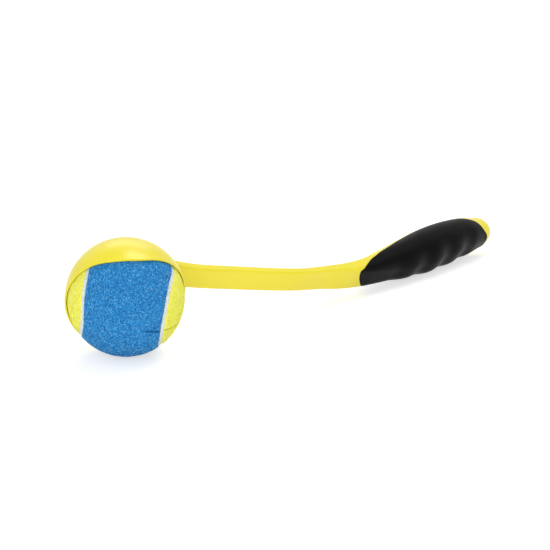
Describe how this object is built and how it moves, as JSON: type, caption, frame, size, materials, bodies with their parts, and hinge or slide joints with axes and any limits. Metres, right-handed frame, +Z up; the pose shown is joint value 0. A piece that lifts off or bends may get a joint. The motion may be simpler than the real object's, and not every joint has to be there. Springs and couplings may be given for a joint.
{
  "type": "dog ball thrower",
  "caption": "Hand-held dog ball thrower with a round snap-in cup, a flat bowed arm and a soft grooved grip, lying on the floor with a felt ball in its cup.",
  "frame": {"origin": "centre of the bounding box's bottom face, on the floor that the thrower lies on", "axes": "+X from the ball to the handle's end along the floor, +Z up from the floor, -Y the side where the cup opens"},
  "size_m": [0.3498, 0.0644, 0.0644],
  "materials": {
    "yellow_plastic": "satin moulded polyethylene, slightly translucent",
    "black_rubber": "soft-touch, fine matt grain",
    "core_rubber": "plain moulded",
    "seam_rubber": "matt, vulcanised strip",
    "blue_felt": "needle felt, short nap",
    "yellow_felt": "needle felt, short nap"
  },
  "bodies": {
    "ball": {"ball_core_front": "core_rubber", "ball_core_back": "core_rubber", "ball_felt_blue": "blue_felt", "ball_felt_yellow": "yellow_felt", "ball_seam": "seam_rubber"},
    "thrower": {"thrower_frame": "yellow_plastic", "handle_grip": "black_rubber"}
  },
  "joints": [
    {"name": "thrower_lift", "type": "slide", "parent": "ball", "child": "thrower", "axis": [0.4378, 0.7391, 0.512], "range_m": [0, 0.045]}
  ]
}
